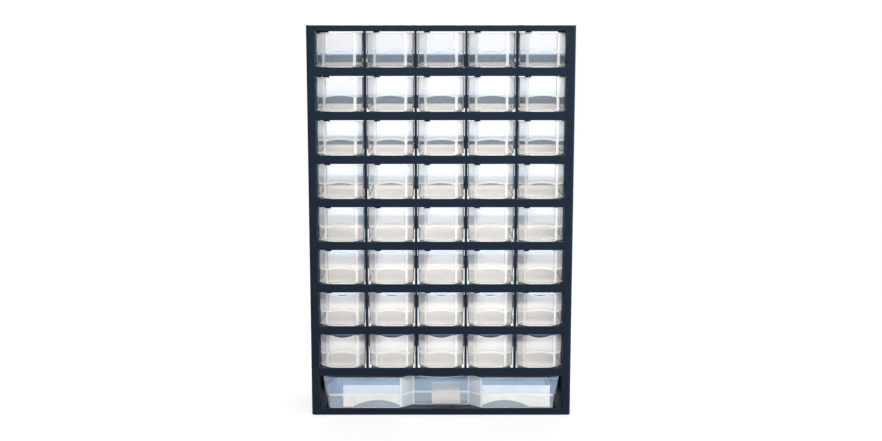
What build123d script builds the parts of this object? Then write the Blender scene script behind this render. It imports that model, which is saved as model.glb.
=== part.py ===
"""Parts bin cabinet: a moulded frame with eight rows of five small clear drawers above one wide clear drawer.

X runs across the front, Y from the front (-Y) to the back (+Y) and Z up. The origin is on the floor under the
middle of the cabinet. All sizes are in millimetres.
"""
import os

from build123d import *

# Grid of small cells, and the one wide cell under them
ROWS = 8
COLUMNS = 5
CELL_WIDTH = 55.2
CELL_HEIGHT = 40.6
WIDE_CELL_HEIGHT = 39.8

# Frame
DEPTH = 128.0
WALL = 2.4
SIDE_WIDTH = 9.6
TOP_HEIGHT = 7.0
BASE_HEIGHT = 8.0
SHELF_BAR_HEIGHT = 9.8
POST_WIDTH = 2.8
POST_DEPTH = 12.0
OUTER_BEVEL = 2.4

# Shelf ledges and rails under each small drawer
RAIL_INSET = 3.0
RAIL_WIDTH = 2.4
RAIL_HEIGHT = 6.0
LEDGE_WIDTH = 10.0
LEDGE_DEPTH = 15.0

# Stop tab over each small drawer, hanging behind its front wall
STOP_TAB_WIDTH = 7.0
STOP_TAB_DROP = 3.5
STOP_TAB_OFFSET = 16.0
STOP_TAB_SETBACK = 12.0

# Rear rails, which stop the drawers and carry the wall screws
REAR_RAIL_SETBACK = 7.6
REAR_RAIL_THICKNESS = 2.4
REAR_RAIL_RISE = 11.5
REAR_RAIL_DROP = 4.5
SCREW_BOSS_RADIUS = 5.0
SCREW_HOLE_RADIUS = 2.25

# Floor of the wide cell
FLOOR_RIB_WIDTH = 2.4
FLOOR_RIB_OFFSET = 12.0
GUIDE_HEIGHT = 5.0
GUIDE_WIDTH = 2.4

# Running clearances of every drawer
FLOOR_CLEARANCE = 0.3
SMALL_HEAD_CLEARANCE = 4.0
WIDE_HEAD_CLEARANCE = 2.5
SIDE_CLEARANCE = 0.6
BACK_CLEARANCE = 0.5

# Clear drawers
DRAWER_WALL = 1.3
DRAWER_FLOOR = 1.5
FRONT_STEP = 1.0
BACK_CHAMFER = 2.5
FINGER_DIP = 3.0

# Small drawers: a narrower lower half, and a flat front panel between two swept corners
SMALL_STEP_HEIGHT = 18.5
SMALL_STEP_INSET = 2.0
SMALL_PANEL_WIDTH = 33.0
SMALL_CORNER_SWEEP = 8.5

# Wide drawer: a narrower lower half, and a front that is recessed in the middle
WIDE_SIDE_GAP = 4.3
WIDE_STEP_HEIGHT = 17.6
WIDE_STEP_INSET = 6.0
RECESS_WIDTH = 66.0
RECESS_SLANT = 14.5
RECESS_DEPTH = 13.0
WIDE_CORNER_CHAMFER = 3.0

# Blank label cards, which stand in the wide drawer behind its front
CARD_THICKNESS = 0.5
CARD_HEIGHT = 26.0
CARD_SLANT_GAP = 1.5
LEFT_CARD_SIDE_GAP = 16.0
RIGHT_CARD_SIDE_GAP = 3.0
MIDDLE_CARD_WIDTH = 34.0
MIDDLE_CARD_OFFSET = 6.0
CARD_ARCH_OFFSET = 26.0
CARD_ARCH_WIDTH = 58.0
CARD_ARCH_HEIGHT = 8.0

# Sizes that follow from the ones above
COLUMN_PITCH = CELL_WIDTH + POST_WIDTH
ROW_PITCH = CELL_HEIGHT + SHELF_BAR_HEIGHT
INNER_WIDTH = COLUMNS * CELL_WIDTH + (COLUMNS - 1) * POST_WIDTH
WIDTH = INNER_WIDTH + 2 * SIDE_WIDTH
HEIGHT = BASE_HEIGHT + WIDE_CELL_HEIGHT + ROWS * ROW_PITCH + TOP_HEIGHT
FRONT = -DEPTH / 2
BACK = DEPTH / 2
REAR_RAIL_FRONT = BACK - REAR_RAIL_SETBACK - REAR_RAIL_THICKNESS
DRAWER_LENGTH = REAR_RAIL_FRONT - BACK_CLEARANCE - FRONT
SMALL_HEIGHT = CELL_HEIGHT - FLOOR_CLEARANCE - SMALL_HEAD_CLEARANCE
SMALL_WIDTH = CELL_WIDTH - 2 * SIDE_CLEARANCE
WIDE_HEIGHT = WIDE_CELL_HEIGHT - FLOOR_CLEARANCE - WIDE_HEAD_CLEARANCE
WIDE_WIDTH = INNER_WIDTH - 2 * WIDE_SIDE_GAP
CARD_ROOM = WIDE_WIDTH / 2 - WIDE_STEP_INSET - DRAWER_WALL
CARD_INNER_EDGE = RECESS_WIDTH / 2 + RECESS_SLANT + CARD_SLANT_GAP
CARD_SPANS = (
    (LEFT_CARD_SIDE_GAP - CARD_ROOM, -CARD_INNER_EDGE),
    (MIDDLE_CARD_OFFSET - MIDDLE_CARD_WIDTH / 2, MIDDLE_CARD_OFFSET + MIDDLE_CARD_WIDTH / 2),
    (CARD_INNER_EDGE, CARD_ROOM - RIGHT_CARD_SIDE_GAP),
)
CARD_ARCH_PLACES = (-CARD_INNER_EDGE - CARD_ARCH_OFFSET, CARD_INNER_EDGE + CARD_ARCH_OFFSET)
SHELF_TOPS = [HEIGHT - TOP_HEIGHT - CELL_HEIGHT - row * ROW_PITCH for row in range(ROWS)]
CELL_CENTRES = [(column - (COLUMNS - 1) / 2) * COLUMN_PITCH for column in range(COLUMNS)]
POST_CENTRES = [(post - COLUMNS / 2 + 1) * COLUMN_PITCH for post in range(COLUMNS - 1)]
SCREW_LEVEL = SHELF_TOPS[0] + (REAR_RAIL_RISE - REAR_RAIL_DROP) / 2
SCREW_PLACES = [(POST_CENTRES[0], SCREW_LEVEL), (POST_CENTRES[-1], SCREW_LEVEL)]

LOW_CORNER = (Align.MIN, Align.MIN, Align.MIN)


def write(part, name):
    """Label a finished piece and write it as one STEP file."""
    part.label = name
    export_step(part, f"parts/{name}.step")


def block(x_low, x_high, y_low, y_high, z_low, z_high):
    """Add a plain block between two corners to the part being built."""
    with Locations((x_low, y_low, z_low)):
        Box(x_high - x_low, y_high - y_low, z_high - z_low, align=LOW_CORNER)


def right_side():
    """Side panel: an outer wall with lipped front and rear flanges, and a rib where each shelf ends."""
    inner = INNER_WIDTH / 2
    outer = WIDTH / 2
    rear_lip = BACK - REAR_RAIL_FRONT
    with BuildPart() as side:
        with BuildSketch():
            with BuildLine():
                Polyline(
                    (inner, FRONT), (outer, FRONT), (outer, BACK), (inner, BACK),
                    (inner, BACK - rear_lip), (inner + WALL, BACK - rear_lip),
                    (inner + WALL, BACK - WALL), (outer - WALL, BACK - WALL),
                    (outer - WALL, FRONT + WALL), (inner + WALL, FRONT + WALL),
                    (inner + WALL, FRONT + POST_DEPTH), (inner, FRONT + POST_DEPTH),
                    close=True,
                )
            make_face()
        extrude(amount=HEIGHT)
        outer_edges = side.edges().filter_by(Axis.Z).sort_by(Axis.X)[-2:]
        chamfer(outer_edges, OUTER_BEVEL)
        rib_levels = [shelf_top - WALL for shelf_top in SHELF_TOPS]
        for level in rib_levels + [0, HEIGHT - WALL]:
            block(inner, outer - WALL, FRONT + WALL, BACK - WALL, level, level + WALL)
    return side.part


def stop_tabs(cell_top, root):
    """Add the row of stop tabs that hang below the given cell top, each reaching up to its root."""
    for centre in CELL_CENTRES:
        tab = centre - STOP_TAB_OFFSET
        near = FRONT + STOP_TAB_SETBACK
        block(
            tab - STOP_TAB_WIDTH / 2, tab + STOP_TAB_WIDTH / 2, near, near + WALL,
            cell_top - STOP_TAB_DROP, root,
        )


def top_panel():
    """Top panel: a skin with a flange round it, a rib over each post and the stop tabs of the top row."""
    half = INNER_WIDTH / 2
    low = HEIGHT - TOP_HEIGHT
    with BuildPart() as top:
        block(-half, half, FRONT, BACK, HEIGHT - WALL, HEIGHT)
        block(-half, half, FRONT, FRONT + WALL, low, HEIGHT)
        block(-half, half, BACK - WALL, BACK, low, HEIGHT)
        for centre in POST_CENTRES:
            block(centre - POST_WIDTH / 2, centre + POST_WIDTH / 2, FRONT, BACK, low, HEIGHT)
        stop_tabs(low, HEIGHT)
    return top.part


def base_panel():
    """Base: a tray whose ribs carry the wide drawer, with a guide on each side."""
    half = INNER_WIDTH / 2
    guide_inner = WIDE_WIDTH / 2 - WIDE_STEP_INSET + SIDE_CLEARANCE
    guide_outer = guide_inner + GUIDE_WIDTH
    with BuildPart() as base:
        block(-half, half, FRONT, BACK, 0, WALL)
        block(-half, half, FRONT, FRONT + WALL, 0, BASE_HEIGHT)
        block(-half, half, BACK - WALL, BACK, 0, BASE_HEIGHT)
        for centre in CELL_CENTRES:
            for side in (-1, 1):
                middle = centre + side * FLOOR_RIB_OFFSET
                block(
                    middle - FLOOR_RIB_WIDTH / 2, middle + FLOOR_RIB_WIDTH / 2, FRONT, REAR_RAIL_FRONT,
                    0, BASE_HEIGHT,
                )
        for low, high in ((guide_inner, guide_outer), (-guide_outer, -guide_inner)):
            block(low, high, FRONT + POST_DEPTH, REAR_RAIL_FRONT, 0, BASE_HEIGHT + GUIDE_HEIGHT)
    return base.part


def shelf(shelf_top, over_small_drawers):
    """Shelf: a thin bar across the front, with a ledge and a rail under each side of each drawer.

    A shelf over small drawers also has their stop tabs.
    """
    half = INNER_WIDTH / 2
    ledge_low = shelf_top - WALL
    with BuildPart() as frame:
        block(-half, half, FRONT, FRONT + WALL, shelf_top - SHELF_BAR_HEIGHT, shelf_top)
        for centre in POST_CENTRES:
            block(
                centre - POST_WIDTH / 2, centre + POST_WIDTH / 2, FRONT, FRONT + POST_DEPTH,
                shelf_top - SHELF_BAR_HEIGHT, shelf_top,
            )
        for centre in CELL_CENTRES:
            for side in (-1, 1):
                outer = centre + side * (CELL_WIDTH / 2 - RAIL_INSET)
                ledge = sorted((outer, outer - side * LEDGE_WIDTH))
                rail = sorted((outer, outer - side * RAIL_WIDTH))
                block(*ledge, FRONT, FRONT + LEDGE_DEPTH, ledge_low, shelf_top)
                block(*rail, FRONT, REAR_RAIL_FRONT, shelf_top - RAIL_HEIGHT, shelf_top)
        if over_small_drawers:
            stop_tabs(shelf_top - SHELF_BAR_HEIGHT, shelf_top)
    return frame.part


def post_column(centre):
    """The eight front posts of one column line, each standing between two shelf bars."""
    with BuildPart() as posts:
        for shelf_top in SHELF_TOPS:
            block(
                centre - POST_WIDTH / 2, centre + POST_WIDTH / 2, FRONT, FRONT + POST_DEPTH,
                shelf_top, shelf_top + CELL_HEIGHT,
            )
    return posts.part


def rear_rails():
    """Rear rails: an upstand behind each row of drawers, the wide one's included."""
    half = INNER_WIDTH / 2
    rail_back = REAR_RAIL_FRONT + REAR_RAIL_THICKNESS
    with BuildPart() as rails:
        for floor_level in SHELF_TOPS + [BASE_HEIGHT]:
            low = floor_level - REAR_RAIL_DROP
            block(-half, half, REAR_RAIL_FRONT, rail_back, low, floor_level + REAR_RAIL_RISE)
        with BuildSketch(Plane.XZ.offset(-BACK)):
            with Locations(*SCREW_PLACES):
                Circle(SCREW_HOLE_RADIUS)
        extrude(amount=REAR_RAIL_SETBACK + REAR_RAIL_THICKNESS, mode=Mode.SUBTRACT)
    return rails.part


def screw_bosses():
    """Two tubes behind the top rear rail, which meet the wall where the screws pull the cabinet to it."""
    with BuildPart() as bosses:
        with BuildSketch(Plane.XZ.offset(-BACK)):
            with Locations(*SCREW_PLACES):
                Circle(SCREW_BOSS_RADIUS)
                Circle(SCREW_HOLE_RADIUS, mode=Mode.SUBTRACT)
        extrude(amount=REAR_RAIL_SETBACK)
    return bosses.part


def small_outline(inset, front):
    """Plan of a small drawer from the given front, drawn inside its full width by the given inset."""
    half = SMALL_WIDTH / 2 - inset
    rear = FRONT + DRAWER_LENGTH
    flat = SMALL_PANEL_WIDTH / 2
    swept = front + SMALL_CORNER_SWEEP
    return [
        (-flat, front), (flat, front), (half, swept), (half, rear - BACK_CHAMFER),
        (half - BACK_CHAMFER, rear), (BACK_CHAMFER - half, rear), (-half, rear - BACK_CHAMFER), (-half, swept),
    ]


def wide_outline(inset, front):
    """Plan of the wide drawer from the given front, drawn inside its full width by the given inset."""
    half = WIDE_WIDTH / 2 - inset
    rear = FRONT + DRAWER_LENGTH
    flat = RECESS_WIDTH / 2
    slant = flat + RECESS_SLANT
    cut = WIDE_CORNER_CHAMFER
    return [
        (-flat, front + RECESS_DEPTH), (flat, front + RECESS_DEPTH), (slant, front), (half - cut, front),
        (half, front + cut), (half, rear - BACK_CHAMFER), (half - BACK_CHAMFER, rear),
        (BACK_CHAMFER - half, rear), (-half, rear - BACK_CHAMFER), (-half, front + cut),
        (cut - half, front), (-slant, front),
    ]


def drawer(outline, inset, step_height, height, dip_width, dip_front):
    """Clear drawer on Z = 0: two stacked prisms, hollowed to one wall, with a dip in the front rim."""
    lower = outline(inset, FRONT + FRONT_STEP)
    upper = outline(0, FRONT)
    with BuildPart() as tray:
        for low, high, plan in ((0, step_height, lower), (step_height, height, upper)):
            with BuildSketch(Plane.XY.offset(low)):
                with BuildLine():
                    Polyline(*plan, close=True)
                make_face()
            extrude(amount=high - low)
        for low, high, plan in ((DRAWER_FLOOR, height, lower), (step_height + DRAWER_WALL, height, upper)):
            with BuildSketch(Plane.XY.offset(low)):
                with BuildLine():
                    Polyline(*plan, close=True)
                make_face()
                offset(amount=-DRAWER_WALL, kind=Kind.INTERSECTION)
            extrude(amount=high - low, mode=Mode.SUBTRACT)
        with BuildSketch(Plane.XZ.offset(-dip_front)):
            with BuildLine():
                ThreePointArc((-dip_width / 2, height), (0, height - FINGER_DIP), (dip_width / 2, height))
                Line((dip_width / 2, height), (-dip_width / 2, height))
            make_face()
        extrude(amount=2 * DRAWER_WALL, both=True, mode=Mode.SUBTRACT)
    return tray.part


def label_cards(floor_level):
    """Three blank cards standing on the wide drawer's floor against the inside of its front.

    The two outer cards each have an arch cut out of their lower edge.
    """
    arch_top = floor_level + CARD_ARCH_HEIGHT
    with BuildPart() as cards:
        for low, high in CARD_SPANS:
            recessed = low < RECESS_WIDTH / 2 and high > -RECESS_WIDTH / 2
            face = FRONT + FRONT_STEP + DRAWER_WALL + (RECESS_DEPTH if recessed else 0)
            block(low, high, face, face + CARD_THICKNESS, floor_level, floor_level + CARD_HEIGHT)
        with BuildSketch(Plane.XZ.offset(-FRONT)):
            for middle in CARD_ARCH_PLACES:
                foot = middle - CARD_ARCH_WIDTH / 2
                end = middle + CARD_ARCH_WIDTH / 2
                with BuildLine():
                    ThreePointArc((foot, floor_level), (middle, arch_top), (end, floor_level))
                    Line((end, floor_level), (foot, floor_level))
                make_face()
        extrude(amount=-RECESS_DEPTH, mode=Mode.SUBTRACT)
    return cards.part


os.makedirs("parts", exist_ok=True)

right_panel = right_side()
write(right_panel, "right_side_panel")
write(mirror(right_panel, about=Plane.YZ), "left_side_panel")
write(top_panel(), "top_panel")
write(base_panel(), "base_panel")
for number, level in enumerate(SHELF_TOPS, start=1):
    write(shelf(level, number < ROWS), f"shelf_{number}")
for number, post_centre in enumerate(POST_CENTRES, start=1):
    write(post_column(post_centre), f"front_posts_{number}")
write(rear_rails(), "rear_rails")
write(screw_bosses(), "screw_bosses")

small_drawer = drawer(
    small_outline, SMALL_STEP_INSET, SMALL_STEP_HEIGHT, SMALL_HEIGHT,
    SMALL_PANEL_WIDTH - 2 * DRAWER_WALL, FRONT,
)
for row, level in enumerate(SHELF_TOPS, start=1):
    for column, cell_centre in enumerate(CELL_CENTRES, start=1):
        placed = small_drawer.moved(Location((cell_centre, 0, level + FLOOR_CLEARANCE)))
        write(placed, f"drawer_r{row}_c{column}")

wide_drawer = drawer(
    wide_outline, WIDE_STEP_INSET, WIDE_STEP_HEIGHT, WIDE_HEIGHT,
    RECESS_WIDTH - 2 * DRAWER_WALL, FRONT + RECESS_DEPTH,
)
wide_floor = BASE_HEIGHT + FLOOR_CLEARANCE
write(wide_drawer.moved(Location((0, 0, wide_floor))), "wide_drawer")
write(label_cards(wide_floor + DRAWER_FLOOR), "label_cards")
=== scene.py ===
"""Looks for the parts bin cabinet: a navy moulded frame holding clear drawers, on a white sweep.

Lengths are in metres, and MM turns millimetres into them.
"""

import bpy
import numpy as np
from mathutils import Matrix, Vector


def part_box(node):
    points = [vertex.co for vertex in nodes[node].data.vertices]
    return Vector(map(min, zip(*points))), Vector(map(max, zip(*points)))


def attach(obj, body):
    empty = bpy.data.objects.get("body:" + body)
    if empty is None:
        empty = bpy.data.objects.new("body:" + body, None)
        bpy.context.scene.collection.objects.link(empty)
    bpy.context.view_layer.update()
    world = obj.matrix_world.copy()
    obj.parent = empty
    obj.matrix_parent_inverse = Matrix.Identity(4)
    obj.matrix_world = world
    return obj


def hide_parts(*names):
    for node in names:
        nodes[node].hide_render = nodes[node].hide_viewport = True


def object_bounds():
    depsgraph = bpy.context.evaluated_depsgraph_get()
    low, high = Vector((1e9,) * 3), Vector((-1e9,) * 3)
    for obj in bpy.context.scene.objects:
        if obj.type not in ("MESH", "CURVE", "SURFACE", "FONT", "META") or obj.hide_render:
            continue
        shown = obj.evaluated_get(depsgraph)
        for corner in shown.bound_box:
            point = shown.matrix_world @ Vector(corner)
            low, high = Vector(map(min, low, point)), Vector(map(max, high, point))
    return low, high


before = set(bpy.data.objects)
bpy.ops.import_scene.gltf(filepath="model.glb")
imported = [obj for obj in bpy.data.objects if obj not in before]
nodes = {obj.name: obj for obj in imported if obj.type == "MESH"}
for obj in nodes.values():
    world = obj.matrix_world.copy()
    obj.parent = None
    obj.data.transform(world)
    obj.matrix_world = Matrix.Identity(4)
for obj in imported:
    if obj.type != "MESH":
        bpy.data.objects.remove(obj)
cad_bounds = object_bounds()

# ---------------------------------------------------------------- outer shell
# Two side panels, the top and the base tray make one box, injection moulded in navy ABS. The mould was
# spark-eroded to a fine grain, so the plastic is satin, and its edges are soft where the mould was cut.
MM = 0.001
SHELL_EDGE = 0.5 * MM
# The real grain is about a tenth of this and is drawn coarser, so that it shows
SPARK_GRAIN = 1.1 * MM
SPARK_RELIEF = 0.2 * MM


def linear(hex_colour):
    """sRGB hex to linear RGBA: up to 0.04045 a channel is divided by 12.92, and above that it follows a
    power of 2.4."""
    channels = np.array([int(hex_colour[i:i + 2], 16) for i in (1, 3, 5)]) / 255
    low = channels / 12.92
    high = ((channels + 0.055) / 1.055) ** 2.4
    return (*np.where(channels <= 0.04045, low, high), 1.0)


def add_node(material, kind, links=None, **settings):
    """Add a shader node, set its properties and sockets, and link outputs into its inputs."""
    node = material.node_tree.nodes.new(kind)
    for name, value in settings.items():
        if hasattr(node, name):
            setattr(node, name, value)
        else:
            node.inputs[name.replace("_", " ")].default_value = value
    for name, output in (links or {}).items():
        material.node_tree.links.new(output, node.inputs[name])
    return node


def new_material(name):
    """A material without nodes, ready for its own."""
    material = bpy.data.materials.new(name)
    material.use_nodes = True
    material.node_tree.nodes.clear()
    return material


# Moulded ABS: nearly even in colour, with a satin gloss that the grain breaks up.
navy = new_material("navy moulded ABS")
navy_place = add_node(navy, "ShaderNodeTexCoord")
grain = add_node(
    navy, "ShaderNodeTexNoise", {"Vector": navy_place.outputs["Object"]}, Scale=1 / SPARK_GRAIN, Detail=2.0,
)
navy_colour = add_node(
    navy, "ShaderNodeMixRGB", {"Fac": grain.outputs["Fac"]},
    Color1=linear("#151e2a"), Color2=linear("#1b2634"),
)
gloss = add_node(navy, "ShaderNodeMapRange", {"Value": grain.outputs["Fac"]}, To_Min=0.34, To_Max=0.5)
grain_bump = add_node(
    navy, "ShaderNodeBump", {"Height": grain.outputs["Fac"]}, Strength=0.05, Distance=SPARK_RELIEF,
)
navy_body = add_node(
    navy, "ShaderNodeBsdfPrincipled",
    {
        "Base Color": navy_colour.outputs["Color"],
        "Roughness": gloss.outputs["Result"],
        "Normal": grain_bump.outputs["Normal"],
    },
    Specular_IOR_Level=0.06,
)
add_node(navy, "ShaderNodeOutputMaterial", {"Surface": navy_body.outputs["BSDF"]})


def finish_moulding(name, edge_radius):
    """Give a node of the frame its plastic, and round each edge whose faces meet at an angle."""
    piece = nodes[name]
    piece.data.materials.clear()
    piece.data.materials.append(navy)
    weld = piece.modifiers.new("weld", "WELD")
    weld.merge_threshold = 0.01 * MM
    edge = piece.modifiers.new("edge", "BEVEL")
    edge.width = edge_radius
    edge.segments = 2
    edge.limit_method = "ANGLE"
    edge.harden_normals = True


for name in ("left_side_panel", "right_side_panel", "top_panel", "base_panel"):
    finish_moulding(name, SHELL_EDGE)

# ---------------------------------------------------------------- shelves
# Eight shelves cross the box, each an angle bar in front with two open rails under every small drawer.
# They are moulded in one with the side panels, and their front bars carry the same satin grain.
SHELF_EDGE = 0.5 * MM
for name in [name for name in nodes if name.startswith("shelf_")]:
    finish_moulding(name, SHELF_EDGE)

# ---------------------------------------------------------------- front posts
# Four thin, shallow posts stand between neighbouring drawers and join each shelf's bar to the next one.
# They are part of the same moulding, with a smaller edge because the wall is thin.
POST_EDGE = 0.4 * MM
for name in [name for name in nodes if name.startswith("front_posts_")]:
    finish_moulding(name, POST_EDGE)

# ---------------------------------------------------------------- rear rails and screw bosses
# A low upstand behind each row stops its drawers, and two bosses on the top one take the wall screws.
# Both are moulded with the frame, and the back is open between them.
REAR_EDGE = 0.4 * MM
for name in ("rear_rails", "screw_bosses"):
    finish_moulding(name, REAR_EDGE)

# ---------------------------------------------------------------- small drawers
# Forty drawers, each moulded in one shot of crystal polystyrene: a flat front panel between two bevels,
# with swept corners outside them. The lower half is narrower, so that a ledge runs round at mid height.
FRONT = cad_bounds[0][1]
SMALL_STEP_INSET = 0.6 * MM
SMALL_STEP_HEIGHT = 18.5 * MM
SMALL_PANEL_HALF = 16.0 * MM
SMALL_BEVEL_WIDTH = 3.3 * MM
SMALL_BEVEL_DEPTH = 2.2 * MM
SMALL_CORNER_SWEEP = 8.5 * MM
SMALL_BEVEL_RADIUS = 0.8 * MM
SMALL_CORNER_RADIUS = 3.0 * MM
SMALL_DRAFTS = (0.2, 0.8)
SMALL_DIP_HALF = 13.0 * MM
SMALL_ARCH = 2.0 * MM
SMALL_LIP = 2.6 * MM
SMALL_CORNER_FOOT = 0.5 * MM
DRAWER_WALL = 1.3 * MM
DRAWER_FLOOR = 1.5 * MM
FRONT_STEP = 1.0 * MM
STEP_RISE = 2.6 * MM
BOTTOM_ROUND = 1.2 * MM
FLOOR_ROUND = 1.0 * MM
# Share of a rounding's radius by which its middle ring stands off both faces
ROUND_MIDDLE = 0.3
RIM_ROUND = 0.4 * MM
# The rim is level between these shares of the wall
RIM_LEVEL = (0.25, 0.75)
FINGER_DIP = 2.8 * MM
LIP_START = FRONT + 9.0 * MM
LIP_END = FRONT + 22.0 * MM
FOOT_MARGIN = 1.5 * MM
# Points up to this far behind the front panel count as on it
PANEL_REACH = 4.0 * MM
LEAST_RADIUS = 0.15 * MM
ARC_STEPS = 4
SHARP_DEGREES = 50
HAZE_SPREAD = 0.2


def clear_plastic(name, haze_share, haze_colour, ripple, relief):
    """Crystal polystyrene of which the given share scatters light instead of passing it.

    A noise of the given ripple size waves the surface by the relief and moves the share either way by up to
    HAZE_SPREAD of itself. Lamps and soft light pass through, so that what lies behind the plastic is lit.
    """
    clear = new_material(name)
    place = add_node(clear, "ShaderNodeTexCoord")
    flow = add_node(
        clear, "ShaderNodeTexNoise", {"Vector": place.outputs["Object"]}, Scale=1 / ripple, Detail=1.0,
    )
    wave = add_node(clear, "ShaderNodeBump", {"Height": flow.outputs["Fac"]}, Strength=1.0, Distance=relief)
    share = add_node(
        clear, "ShaderNodeMapRange", {"Value": flow.outputs["Fac"]},
        To_Min=haze_share * (1 - HAZE_SPREAD), To_Max=haze_share * (1 + HAZE_SPREAD),
    )
    crystal = add_node(
        clear, "ShaderNodeBsdfPrincipled", {"Normal": wave.outputs["Normal"]},
        Base_Color=(1, 1, 1, 1), Roughness=0.02, IOR=1.55, Transmission_Weight=1.0,
    )
    front_haze = add_node(clear, "ShaderNodeBsdfDiffuse", Color=linear(haze_colour))
    back_haze = add_node(clear, "ShaderNodeBsdfTranslucent", Color=linear(haze_colour))
    haze = add_node(
        clear, "ShaderNodeMixShader", {1: front_haze.outputs["BSDF"], 2: back_haze.outputs["BSDF"]}, Fac=0.5,
    )
    hazy = add_node(
        clear, "ShaderNodeMixShader",
        {0: share.outputs["Result"], 1: crystal.outputs["BSDF"], 2: haze.outputs["Shader"]},
    )
    passing = add_node(clear, "ShaderNodeBsdfTransparent", Color=linear("#fdfdfc"))
    rays = add_node(clear, "ShaderNodeLightPath")
    soft_rays = add_node(
        clear, "ShaderNodeMath", {0: rays.outputs["Is Shadow Ray"], 1: rays.outputs["Is Diffuse Ray"]},
        operation="MAXIMUM",
    )
    surface = add_node(
        clear, "ShaderNodeMixShader",
        {0: soft_rays.outputs[0], 1: hazy.outputs["Shader"], 2: passing.outputs["BSDF"]},
    )
    add_node(clear, "ShaderNodeOutputMaterial", {"Surface": surface.outputs["Shader"]})
    return clear


# Crystal polystyrene off a polished mould: glass-clear, with a slow waviness from the melt's flow. Where the
# mould was blasted the face is frosted. The edges carry a painted glint, a white haze that stands in for the
# light they catch, and some walls and the wide drawer's floor carry painted shade, a blue haze that stands
# in for the shaded navy frame seen through them.
FLOW_RIPPLE = 14 * MM
FLOW_RELIEF = 0.02 * MM
BLAST_GRAIN = 0.9 * MM
BLAST_RELIEF = 0.01 * MM
FROST_RELIEF = 0.002 * MM
CLEAR_FINISHES = [
    clear_plastic("clear polystyrene", 0.09, "#d4e6f8", FLOW_RIPPLE, FLOW_RELIEF),
    clear_plastic("frosted polystyrene", 0.4, "#f8faff", BLAST_GRAIN, FROST_RELIEF),
    # Painted glint: a white haze that stands in for the light caught by the bevels, step, rim and bottom
    # edge
    clear_plastic("polystyrene edges with painted glint", 0.6, "#ffffff", FLOW_RIPPLE, FLOW_RELIEF),
    clear_plastic("textured polystyrene", 0.9, "#fff2e6", BLAST_GRAIN, BLAST_RELIEF),
    # Painted shade: a blue haze that stands in for the shaded navy frame seen through the clear walls
    clear_plastic("polystyrene with painted blue shade", 0.3, "#94c0f2", FLOW_RIPPLE, FLOW_RELIEF),
    # Painted shade: a blue-grey floor haze that stands in for the navy base tray seen through the floor
    clear_plastic("textured polystyrene with painted blue shade", 0.85, "#adbfd3", BLAST_GRAIN, BLAST_RELIEF),
]
PLAIN, FROSTED, PAINTED_GLINT, TEXTURED, PAINTED_SHADE_BLUE, TEXTURED_PAINTED_SHADE_BLUE = range(6)


def rounded_outline(corners, radii, inset, edge_steps):
    """Points of a closed outline, moved inwards by inset along its mitres, with its corners rounded.

    corners runs anticlockwise. An arc starts where its radius times the tangent of half the turn is left to
    the corner, and leaves the edge by one minus the cosine of the angle turned. The inset shrinks the radius
    of an outer corner and grows an inner one's, down to LEAST_RADIUS. Every corner gives the same number of
    points and every edge its own number, so outlines with other insets match point for point.
    """
    along = np.roll(corners, -1, axis=0) - corners
    along /= np.linalg.norm(along, axis=1)[:, None]
    before = np.roll(along, 1, axis=0)
    normal = np.stack([-along[:, 1], along[:, 0]], axis=1)
    turn = np.arctan2(before[:, 0] * along[:, 1] - before[:, 1] * along[:, 0], (before * along).sum(1))
    mitre = np.roll(normal, 1, axis=0) + normal
    mitre /= (mitre * normal).sum(1)[:, None]
    radius = np.maximum(radii - inset * np.sign(turn), LEAST_RADIUS)
    start = corners + mitre * inset - before * (radius * np.abs(np.tan(turn / 2)))[:, None]
    towards = np.stack([-before[:, 1], before[:, 0]], axis=1) * np.sign(turn)[:, None]
    angles = (np.linspace(0, 1, ARC_STEPS + 1) * np.abs(turn)[:, None])[..., None]
    arcs = start[:, None] + radius[:, None, None] * (
        np.sin(angles) * before[:, None] + (1 - np.cos(angles)) * towards[:, None]
    )
    edges = [
        arc[-1] + (following[0] - arc[-1]) * np.linspace(0, 1, steps + 1)[1:-1, None]
        for arc, following, steps in zip(arcs, np.roll(arcs, -1, axis=0), edge_steps)
    ]
    return np.concatenate([points for pair in zip(arcs, edges) for points in pair])


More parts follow.
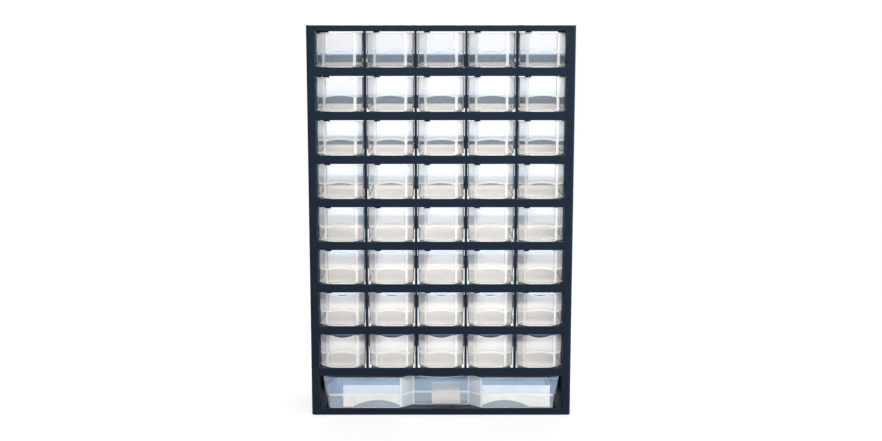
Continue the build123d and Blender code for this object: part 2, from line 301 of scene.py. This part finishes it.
def drawer_rings(corners, radii, edge_steps, height, step_height, step_inset, drafts, dip_half,
                 arch=0.0, lip=0.0, foot=0.0):
    """Rings of a drawer with its floor at Z = 0: up its outside, over the rim and down its inside.

    The first two corners end the front panel. Below the step the side corners move in by step_inset and the
    front ones move back, and drafts are the shares of that just above and just below it. Across the panel
    the rim dips and the step arches by a parabola. The rim is raised by lip and the bottom edge beside the
    panel by foot, in full up to LIP_START and fading out to LIP_END.
    """
    on_side = np.isclose(np.abs(corners[:, 0]), corners[:, 0].max())
    in_front = corners[:, 1] < corners[:, 1].mean()
    panel_half, panel_front = corners[1]

    def across(points, half_width):
        """One minus the square of X over half_width on the front panel, and 0 everywhere else."""
        inside = (np.abs(points[:, 0]) < half_width) & (points[:, 1] < panel_front + PANEL_REACH)
        return np.where(inside, 1 - (points[:, 0] / half_width) ** 2, 0.0)

    def ring(narrow, inset, level, dip=0.0, rise=0.0, lip=0.0, foot=0.0):
        """One level of the skin, narrowed by the given share and drawn inside the outer skin by inset."""
        plan = corners.copy()
        plan[:, 0] -= np.sign(plan[:, 0]) * on_side * narrow * step_inset
        plan[:, 1] += in_front * (narrow > 0.5) * FRONT_STEP
        outline = rounded_outline(plan, radii, inset, edge_steps)
        near_front = np.clip((LIP_END - outline[:, 1]) / (LIP_END - LIP_START), 0, 1)
        beside_panel = np.abs(outline[:, 0]) > panel_half + FOOT_MARGIN
        z = level - dip * across(outline, dip_half) + rise * across(outline, panel_half)
        return np.column_stack([outline, z + near_front * (lip + foot * beside_panel)])

    wall = DRAWER_WALL
    above, below = drafts
    step_low = step_height - STEP_RISE
    rings = [
        ring(1, BOTTOM_ROUND, 0, foot=foot),
        ring(1, BOTTOM_ROUND * ROUND_MIDDLE, BOTTOM_ROUND * ROUND_MIDDLE, foot=foot),
        ring(1, 0, BOTTOM_ROUND, foot=foot),
        ring(below, 0, step_low, rise=arch),
        ring(above, 0, step_height, rise=arch),
    ]
    rim_outer, rim_inner = (share * wall for share in RIM_LEVEL)
    for inset, level in ((0, -RIM_ROUND), (rim_outer, 0), (rim_inner, 0), (wall, -RIM_ROUND)):
        rings.append(ring(0, inset, height + level, dip=FINGER_DIP, lip=lip))
    return rings + [
        ring(above, wall, step_height + wall, rise=arch),
        ring(below, wall, step_low + wall, rise=arch),
        ring(1, wall, DRAWER_FLOOR + FLOOR_ROUND),
        ring(1, wall + FLOOR_ROUND * ROUND_MIDDLE, DRAWER_FLOOR + FLOOR_ROUND * ROUND_MIDDLE),
        ring(1, wall + FLOOR_ROUND, DRAWER_FLOOR),
    ]


# The bands between one ring and the next, and the parts of a band: its edges, then the arc before each edge
FOOT_BANDS = [0, 1]
LOWER_OUTSIDE, STEP_OUTSIDE, UPPER_OUTSIDE = 2, 3, 4
RIM_BANDS = [5, 6, 7]
UPPER_INSIDE, LOWER_INSIDE = 8, 10
BAND_COUNT = 13
EDGE_COUNT = 8
PANEL = [0]
BEVEL_FACES = [1, 7]
BEVEL_ARCS = [EDGE_COUNT, EDGE_COUNT + 1, EDGE_COUNT + 2, EDGE_COUNT + 7]
BEVELS = BEVEL_FACES + BEVEL_ARCS
SWEPT_CORNERS = [2, 6]
REAR = [4]
ALL_ROUND = list(range(2 * EDGE_COUNT))


def skin_slots(edge_steps, finishes, floor_finish):
    """Each face's material slot: plain, and then every finish in turn on its own bands and parts."""
    part_of_face = np.concatenate(
        [[EDGE_COUNT + edge] * ARC_STEPS + [edge] * steps for edge, steps in enumerate(edge_steps)]
    )
    slots = np.full((BAND_COUNT, len(part_of_face)), PLAIN)
    for finish, bands, parts in finishes:
        slots[np.ix_(bands, np.isin(part_of_face, parts))] = finish
    return [*slots.ravel().tolist(), PLAIN, floor_finish]


def mesh_object(name, points, faces, materials, slots=None, smooth=True):
    """A mesh object at the origin from an array of points, a list of faces and each face's material slot."""
    mesh = bpy.data.meshes.new(name)
    mesh.from_pydata(points.tolist(), [], faces)
    mesh.polygons.foreach_set("use_smooth", [smooth] * len(mesh.polygons))
    piece = bpy.data.objects.new(name, mesh)
    bpy.context.scene.collection.objects.link(piece)
    for material in materials:
        mesh.materials.append(material)
    if slots is not None:
        mesh.polygons.foreach_set("material_index", slots)
    mesh.update()
    if smooth:
        mesh.set_sharp_from_angle(angle=np.radians(SHARP_DEGREES))
        weighted = piece.modifiers.new("flat faces", "WEIGHTED_NORMAL")
        weighted.weight = 100
        weighted.keep_sharp = True
    return piece


def add_skin(cad_name, rings, slots, shift):
    """Join equal rings in order by quads, cap the first and the last, and put the skin over its drawer."""
    levels, count = len(rings), len(rings[0])
    low = np.arange(levels - 1)[:, None] * count
    here = np.arange(count)[None, :]
    there = (here + 1) % count
    quads = np.stack([low + here, low + there, low + count + there, low + count + here], axis=-1)
    faces = quads.reshape(-1, 4).tolist()
    faces.append(list(range(count))[::-1])
    faces.append(list(range((levels - 1) * count, levels * count)))
    skin = mesh_object(cad_name + "_skin", np.concatenate(rings) + shift, faces, CLEAR_FINISHES, slots)
    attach(skin, cad_name)
    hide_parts(cad_name)


small_low, small_high = (np.array(corner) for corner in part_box("drawer_r1_c3"))
small_half = (small_high[0] - small_low[0]) / 2
small_rear = small_high[1]
bevel_end = SMALL_PANEL_HALF + SMALL_BEVEL_WIDTH
small_corners = np.array([
    (-SMALL_PANEL_HALF, FRONT), (SMALL_PANEL_HALF, FRONT), (bevel_end, FRONT + SMALL_BEVEL_DEPTH),
    (small_half, FRONT + SMALL_CORNER_SWEEP), (small_half, small_rear), (-small_half, small_rear),
    (-small_half, FRONT + SMALL_CORNER_SWEEP), (-bevel_end, FRONT + SMALL_BEVEL_DEPTH),
])
small_radii = np.array([SMALL_BEVEL_RADIUS] * 3 + [SMALL_CORNER_RADIUS] * 4 + [SMALL_BEVEL_RADIUS])
# Steps along each edge, anticlockwise from the front panel
small_steps = [24, 2, 4, 6, 6, 6, 4, 2]
small_rings = drawer_rings(
    small_corners, small_radii, small_steps, small_high[2] - small_low[2], SMALL_STEP_HEIGHT,
    SMALL_STEP_INSET, SMALL_DRAFTS, SMALL_DIP_HALF, SMALL_ARCH, SMALL_LIP, SMALL_CORNER_FOOT,
)
small_slots = skin_slots(
    small_steps,
    [
        (FROSTED, [UPPER_OUTSIDE, UPPER_INSIDE], PANEL),
        (FROSTED, [UPPER_OUTSIDE], SWEPT_CORNERS),
        # Painted shade: a blue haze on the lower rear walls stands in for the navy rails seen through them
        (PAINTED_SHADE_BLUE, [LOWER_OUTSIDE, LOWER_INSIDE], REAR),
        # Painted glint: white haze on the bevels, the step ledge, the rim and the bottom edge stands in for
        # caught light
        (PAINTED_GLINT, [LOWER_OUTSIDE, UPPER_OUTSIDE], BEVEL_FACES),
        (PAINTED_GLINT, [STEP_OUTSIDE], PANEL + BEVELS + SWEPT_CORNERS),
        (PAINTED_GLINT, RIM_BANDS, ALL_ROUND),
        (PAINTED_GLINT, FOOT_BANDS, PANEL),
    ],
    TEXTURED,
)
for name in [name for name in nodes if name.startswith("drawer_")]:
    low, high = (np.array(corner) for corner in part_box(name))
    add_skin(name, small_rings, small_slots, np.array([(low[0] + high[0]) / 2, 0, low[2]]))

# ---------------------------------------------------------------- wide drawer
# One drawer as wide as the cabinet runs in the base tray. It is the same clear polystyrene in one shot, with
# a front that is recessed in the middle between two slanted turns, which make the finger pull.
WIDE_STEP_INSET = 6.0 * MM
WIDE_STEP_HEIGHT = 17.6 * MM
WIDE_DRAFTS = (0.5, 0.75)
WIDE_RADIUS = 3.0 * MM
RECESS_HALF = 33.0 * MM
RECESS_SLANT = 14.5 * MM
RECESS_DEPTH = 13.0 * MM
SLANT_FACES, SLANT_ARCS = BEVEL_FACES, BEVEL_ARCS
WIDE_FRONTS = [0, 2, 6]
wide_low, wide_high = (np.array(corner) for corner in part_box("wide_drawer"))
wide_half = wide_high[0]
slant_end = RECESS_HALF + RECESS_SLANT
wide_corners = np.array([
    (-RECESS_HALF, FRONT + RECESS_DEPTH), (RECESS_HALF, FRONT + RECESS_DEPTH), (slant_end, FRONT),
    (wide_half, FRONT), (wide_half, wide_high[1]), (-wide_half, wide_high[1]), (-wide_half, FRONT),
    (-slant_end, FRONT),
])
wide_steps = [30, 4, 8, 6, 12, 6, 8, 4]
wide_rings = drawer_rings(
    wide_corners, np.full(EDGE_COUNT, WIDE_RADIUS), wide_steps, wide_high[2] - wide_low[2],
    WIDE_STEP_HEIGHT, WIDE_STEP_INSET, WIDE_DRAFTS, RECESS_HALF,
)
wide_slots = skin_slots(
    wide_steps,
    [
        # Painted shade: blue haze on the upper front and lower rear walls stands in for the shaded navy
        # frame behind
        (PAINTED_SHADE_BLUE, [UPPER_OUTSIDE], WIDE_FRONTS),
        (PAINTED_SHADE_BLUE, [LOWER_OUTSIDE, LOWER_INSIDE], REAR),
        (FROSTED, [LOWER_OUTSIDE, UPPER_OUTSIDE], SLANT_FACES),
        # Painted glint: white haze on the slant arcs, the step ledge, the rim and the bottom edge stands in
        # for caught light
        (PAINTED_GLINT, [LOWER_OUTSIDE, UPPER_OUTSIDE], SLANT_ARCS),
        (PAINTED_GLINT, [STEP_OUTSIDE], WIDE_FRONTS + SLANT_FACES + SLANT_ARCS),
        (PAINTED_GLINT, RIM_BANDS, ALL_ROUND),
        (PAINTED_GLINT, FOOT_BANDS, WIDE_FRONTS),
    ],
    # Painted shade: the floor's blue-grey haze stands in for the navy base tray seen through it
    TEXTURED_PAINTED_SHADE_BLUE,
)
add_skin("wide_drawer", wide_rings, wide_slots, np.array([0, 0, wide_low[2]]))

# ---------------------------------------------------------------- label cards
# Blank cards stand behind the front of the wide drawer, die-cut from white card, with an arched notch in
# the lower edge of the outer two. They are loose and lean on the inside of the front.
# The real fibres are finer than this and are drawn coarser, so that they show
FIBRE_CLUMP = 0.8 * MM
FIBRE_RELIEF = 0.05 * MM
# White card: matt, and slightly uneven where its fibres lie thick or thin.
card = new_material("white card")
card_place = add_node(card, "ShaderNodeTexCoord")
fibres = add_node(
    card, "ShaderNodeTexNoise", {"Vector": card_place.outputs["Object"]}, Scale=1 / FIBRE_CLUMP, Detail=3.0,
)
card_colour = add_node(
    card, "ShaderNodeMixRGB", {"Fac": fibres.outputs["Fac"]},
    Color1=linear("#e4e2dd"), Color2=linear("#f4f3f1"),
)
card_bump = add_node(
    card, "ShaderNodeBump", {"Height": fibres.outputs["Fac"]}, Strength=0.3, Distance=FIBRE_RELIEF,
)
card_body = add_node(
    card, "ShaderNodeBsdfPrincipled",
    {"Base Color": card_colour.outputs["Color"], "Normal": card_bump.outputs["Normal"]},
    Roughness=0.8,
)
add_node(card, "ShaderNodeOutputMaterial", {"Surface": card_body.outputs["BSDF"]})
cards = nodes["label_cards"]
cards.data.materials.clear()
cards.data.materials.append(card)

# ---------------------------------------------------------------- white sweep
# The cabinet stands on a matt white studio floor. It shows white to the camera, in reflections and through
# the clear drawers, and near the cabinet it keeps the object's shadow.
FLOOR_HALF = 3.0
FLOOR_GLOW = 0.8
GLOW_NEAR = 0.35
GLOW_FAR = 1.1
FLOOR_Z = cad_bounds[0][2]


def background_rays(material):
    """A value that is 1 for the rays that see the background and 0 for the light that falls on things."""
    rays = add_node(material, "ShaderNodeLightPath")
    seen = add_node(
        material, "ShaderNodeMath", {0: rays.outputs["Is Camera Ray"], 1: rays.outputs["Is Glossy Ray"]},
        operation="MAXIMUM",
    )
    seen_through = add_node(
        material, "ShaderNodeMath", {0: seen.outputs[0], 1: rays.outputs["Is Transmission Ray"]},
        operation="MAXIMUM",
    )
    return seen_through.outputs[0]


sweep = new_material("white sweep")
sweep_body = add_node(sweep, "ShaderNodeBsdfDiffuse", Color=linear("#cfcfcf"))
sweep_glow = add_node(sweep, "ShaderNodeEmission", Color=(1, 1, 1, 1), Strength=1.0)
sweep_place = add_node(sweep, "ShaderNodeTexCoord")
sweep_reach = add_node(sweep, "ShaderNodeVectorMath", {0: sweep_place.outputs["Object"]}, operation="LENGTH")
sweep_fade = add_node(
    sweep, "ShaderNodeMapRange", {"Value": sweep_reach.outputs["Value"]}, interpolation_type="SMOOTHSTEP",
    From_Min=GLOW_NEAR, From_Max=GLOW_FAR, To_Min=FLOOR_GLOW, To_Max=1.0,
)
glow_share = add_node(
    sweep, "ShaderNodeMath", {0: background_rays(sweep), 1: sweep_fade.outputs["Result"]},
    operation="MULTIPLY",
)
sweep_mix = add_node(
    sweep, "ShaderNodeMixShader",
    {0: glow_share.outputs[0], 1: sweep_body.outputs["BSDF"], 2: sweep_glow.outputs["Emission"]},
)
add_node(sweep, "ShaderNodeOutputMaterial", {"Surface": sweep_mix.outputs["Shader"]})
floor_points = np.array([
    (-FLOOR_HALF, -FLOOR_HALF, FLOOR_Z), (FLOOR_HALF, -FLOOR_HALF, FLOOR_Z),
    (FLOOR_HALF, FLOOR_HALF, FLOOR_Z), (-FLOOR_HALF, FLOOR_HALF, FLOOR_Z),
])
floor = mesh_object("floor", floor_points, [(0, 1, 2, 3)], [sweep], smooth=False)

# ---------------------------------------------------------------- studio light
# The studio is white behind the cabinet and dim in front of it, which lights the drawers from behind. Three
# softboxes add to it: one from the right, one from above the front, and one over the back.
FRONT_STUDIO = 0.1
# The studio turns from dim to white while the Y part of the direction runs from minus this to plus this
STUDIO_TURN = 0.3
world = bpy.data.worlds.new("white studio")
bpy.context.scene.world = world
world.use_nodes = True
direction = add_node(world, "ShaderNodeTexCoord")
direction_parts = add_node(world, "ShaderNodeSeparateXYZ", {"Vector": direction.outputs["Generated"]})
studio = add_node(
    world, "ShaderNodeMapRange", {"Value": direction_parts.outputs["Y"]},
    From_Min=-STUDIO_TURN, From_Max=STUDIO_TURN, To_Min=FRONT_STUDIO, To_Max=1.0,
)
shown = add_node(
    world, "ShaderNodeMath", {0: studio.outputs["Result"], 1: background_rays(world)}, operation="MAXIMUM",
)
backdrop = world.node_tree.nodes["Background"]
backdrop.inputs["Color"].default_value = (1, 1, 1, 1)
world.node_tree.links.new(shown.outputs[0], backdrop.inputs["Strength"])


def softbox(name, position, target, width, height, power):
    """A soft rectangular lamp whose face is turned straight at a target point."""
    lamp = bpy.data.lights.new(name, "AREA")
    lamp.shape = "RECTANGLE"
    lamp.size = width
    lamp.size_y = height
    lamp.energy = power
    holder = bpy.data.objects.new(name, lamp)
    bpy.context.scene.collection.objects.link(holder)
    holder.location = position
    holder.rotation_euler = (Vector(target) - Vector(position)).to_track_quat("-Z", "Y").to_euler()


TOP_Z = cad_bounds[1][2]
middle = (0, 0, TOP_Z / 2)
softbox("right softbox", position=(1.5, -0.75, 0.95), target=middle, width=0.8, height=0.8, power=22)
softbox("top softbox", position=(0.2, -0.6, 0.98), target=(0, 0, TOP_Z), width=0.8, height=0.4, power=11)
softbox("back softbox", position=(0.0, 1.1, 1.0), target=middle, width=1.4, height=0.8, power=43)

# ---------------------------------------------------------------- camera
# The camera stands well back and a little above the cabinet's top, and looks slightly down at it.
# Its focal length is given in pixels of an image that is IMAGE_WIDTH wide.
IMAGE_WIDTH = 882
FOCAL_PIXELS = 1288.2
CAMERA_DISTANCE = 1474.1 * MM
CAMERA_HEIGHT = 472.8 * MM
CAMERA_PITCH = np.radians(9.2)
# In millimetres, as the lens is
SENSOR_WIDTH = 36
camera_data = bpy.data.cameras.new("camera")
camera_data.sensor_width = SENSOR_WIDTH
camera_data.lens = SENSOR_WIDTH * FOCAL_PIXELS / IMAGE_WIDTH
camera = bpy.data.objects.new("camera", camera_data)
bpy.context.scene.collection.objects.link(camera)
camera.location = (0, FRONT - CAMERA_DISTANCE, CAMERA_HEIGHT)
camera.rotation_euler = (np.pi / 2 - CAMERA_PITCH, 0, 0)
bpy.context.scene.camera = camera

# ---------------------------------------------------------------- colour and light paths
# A ray that looks through several drawers crosses dozens of clear walls, so it may bounce often.
# Indirect light is clamped, so that single bright paths leave no specks.
scene = bpy.context.scene
scene.view_settings.view_transform = "Standard"
scene.cycles.max_bounces = 32
scene.cycles.transmission_bounces = 32
scene.cycles.transparent_max_bounces = 32
scene.cycles.glossy_bounces = 8
scene.cycles.diffuse_bounces = 3
scene.cycles.sample_clamp_indirect = 4.0
